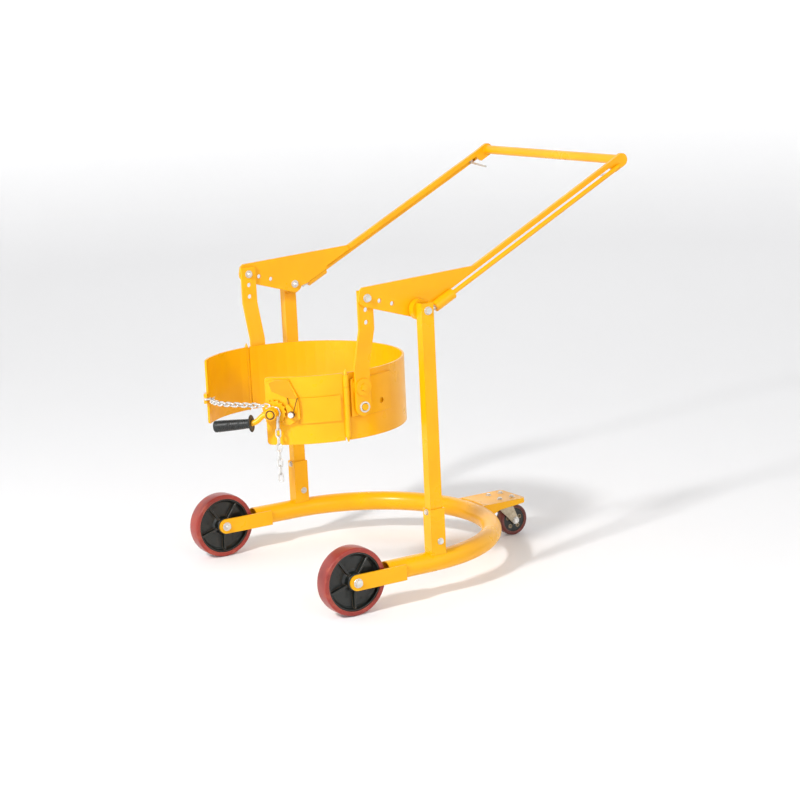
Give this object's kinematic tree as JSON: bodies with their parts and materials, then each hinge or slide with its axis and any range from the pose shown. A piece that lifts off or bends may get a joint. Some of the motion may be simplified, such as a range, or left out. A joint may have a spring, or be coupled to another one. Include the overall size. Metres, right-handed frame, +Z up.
{
  "type": "drum dolly",
  "caption": "Steel drum dolly: U-shaped wheeled base with a rear caster, uprights, a lifting lever and a hinged tilting saddle with a chain ratchet that grips one upright drum.",
  "frame": {"origin": "centre of the outline, on the floor", "axes": "+X towards the handle and the rear caster, +Y away from the chain ratchet, +Z up"},
  "size_m": [1.3262, 0.9032, 1.221],
  "materials": {
    "yellow_paint": "gloss powder coat",
    "tyre_red": "semi-gloss polyurethane",
    "wheel_core": "black enamel, worn on the rib edges",
    "grip": "matte moulded",
    "zinc": "bright zinc plate",
    "fork_zinc": "yellow-passivated zinc plate"
  },
  "bodies": {
    "base": {"base_tube": "yellow_paint", "fork_plate_near_outer": "yellow_paint", "fork_plate_near_inner": "yellow_paint", "fork_plate_far_outer": "yellow_paint", "fork_plate_far_inner": "yellow_paint", "axle_bolt_near": "zinc", "axle_bolt_far": "zinc", "socket_near": "yellow_paint", "socket_far": "yellow_paint", "upright_near": "yellow_paint", "upright_far": "yellow_paint", "socket_bolt_near": "zinc", "socket_bolt_far": "zinc", "pivot_boss_near": "yellow_paint", "pivot_boss_far": "yellow_paint", "pivot_bolt_near": "zinc", "pivot_bolt_far": "zinc", "outrigger": "yellow_paint", "caster_mount": "fork_zinc"},
    "wheel_near": {"tyre_near": "tyre_red", "wheel_core_near": "wheel_core"},
    "wheel_far": {"tyre_far": "tyre_red", "wheel_core_far": "wheel_core"},
    "caster_swivel": {"caster_fork": "fork_zinc", "caster_axle": "zinc"},
    "caster_wheel": {"caster_tyre": "tyre_red", "caster_core": "wheel_core"},
    "lever": {"lever_plate_near": "yellow_paint", "lever_plate_far": "yellow_paint", "latch_sleeve_near": "yellow_paint", "latch_sleeve_far": "yellow_paint", "lever_arm_near": "yellow_paint", "lever_arm_far": "yellow_paint", "latch_guide_near": "yellow_paint", "latch_guide_far": "yellow_paint", "lift_bolt_near": "zinc", "lift_bolt_far": "zinc", "handle_bar": "yellow_paint"},
    "latch_near": {"latch_rod_near": "zinc"},
    "latch_far": {"latch_rod_far": "zinc"},
    "links": {"drop_link_near": "yellow_paint", "drop_link_far": "yellow_paint", "lock_ring": "zinc"},
    "lock": {"lock_pin": "yellow_paint"},
    "saddle": {"saddle_band": "yellow_paint", "side_plate_near": "yellow_paint", "side_plate_far": "yellow_paint", "trunnion_near": "yellow_paint", "trunnion_far": "yellow_paint", "hinge_pin_near": "yellow_paint", "hinge_pin_far": "yellow_paint"},
    "left_wing": {"wing_near": "yellow_paint", "ratchet_bracket": "yellow_paint"},
    "right_wing": {"wing_far": "yellow_paint"},
    "ratchet": {"ratchet_wheel": "yellow_paint", "ratchet_lever": "yellow_paint", "ratchet_grip": "grip"},
    "ratchet_pawl": {"pawl": "yellow_paint"},
    "drum_chain": {"chain_span": "zinc"},
    "loose_chain": {"chain_tail": "zinc"}
  },
  "joints": [
    {"name": "wheel_near_spin", "type": "hinge", "parent": "base", "child": "wheel_near", "pos_m": [-0.3899, -0.404, 0.1], "axis": [0, 1, 0], "continuous": true},
    {"name": "wheel_far_spin", "type": "hinge", "parent": "base", "child": "wheel_far", "pos_m": [-0.3899, 0.404, 0.1], "axis": [0, 1, 0], "continuous": true},
    {"name": "caster_turn", "type": "hinge", "parent": "base", "child": "caster_swivel", "pos_m": [0.4031, 0, 0.12], "axis": [0, 0, 1], "continuous": true},
    {"name": "caster_spin", "type": "hinge", "parent": "caster_swivel", "child": "caster_wheel", "pos_m": [0.4441, 0, 0.05], "axis": [0, 1, 0], "continuous": true},
    {"name": "handle_lift", "type": "hinge", "parent": "base", "child": "lever", "pos_m": [-0.1039, 0, 0.84], "axis": [0, -1, 0], "range_deg": [0, 43]},
    {"name": "latch_near_pull", "type": "slide", "parent": "lever", "child": "latch_near", "axis": [0.891, 0, 0.454], "range_m": [0, 0.015], "stiffness_N_per_m": 400, "springref_m": -0.01},
    {"name": "latch_far_pull", "type": "slide", "parent": "lever", "child": "latch_far", "axis": [0.891, 0, 0.454], "range_m": [0, 0.015], "stiffness_N_per_m": 400, "springref_m": -0.01},
    {"name": "link_hang", "type": "hinge", "parent": "lever", "child": "links", "pos_m": [-0.2689, 0, 0.89], "axis": [0, -1, 0], "range_deg": [-43, 0]},
    {"name": "lock_pull", "type": "slide", "parent": "links", "child": "lock", "axis": [0, -1, 0], "range_m": [0, 0.015], "stiffness_N_per_m": 300, "springref_m": -0.01},
    {"name": "saddle_tilt", "type": "hinge", "parent": "links", "child": "saddle", "pos_m": [-0.2689, 0, 0.629], "axis": [0, -1, 0], "range_deg": [0, 110]},
    {"name": "wing_near_open", "type": "hinge", "parent": "saddle", "child": "left_wing", "pos_m": [-0.31557, -0.30134, 0.58], "axis": [0, 0, -1], "range_deg": [-95, 0]},
    {"name": "wing_far_open", "type": "hinge", "parent": "saddle", "child": "right_wing", "pos_m": [-0.31557, 0.30134, 0.58], "axis": [0, 0, 1], "range_deg": [-95, 0]},
    {"name": "ratchet_turn", "type": "hinge", "parent": "left_wing", "child": "ratchet", "pos_m": [-0.51642, -0.2285, 0.576], "axis": [0.7133, 0.7009, 0], "range_deg": [0, 120]},
    {"name": "pawl_lift", "type": "hinge", "parent": "left_wing", "child": "ratchet_pawl", "pos_m": [-0.46999, -0.25577, 0.57], "axis": [0.7133, 0.7009, 0], "range_deg": [0, 20], "stiffness_Nm_per_rad": 0.05, "springref_deg": -17.19},
    {"name": "chain_swing", "type": "hinge", "parent": "right_wing", "child": "drum_chain", "pos_m": [-0.50467, 0.16959, 0.558], "axis": [0, 0, -1], "range_deg": [0, 45]},
    {"name": "tail_swing", "type": "hinge", "parent": "left_wing", "child": "loose_chain", "pos_m": [-0.50731, -0.23777, 0.551], "axis": [-0.7133, -0.7009, 0], "range_deg": [-20, 20]}
  ],
  "couplings": [
    {"joint": "link_hang", "follows": "handle_lift", "ratio": -1}
  ]
}
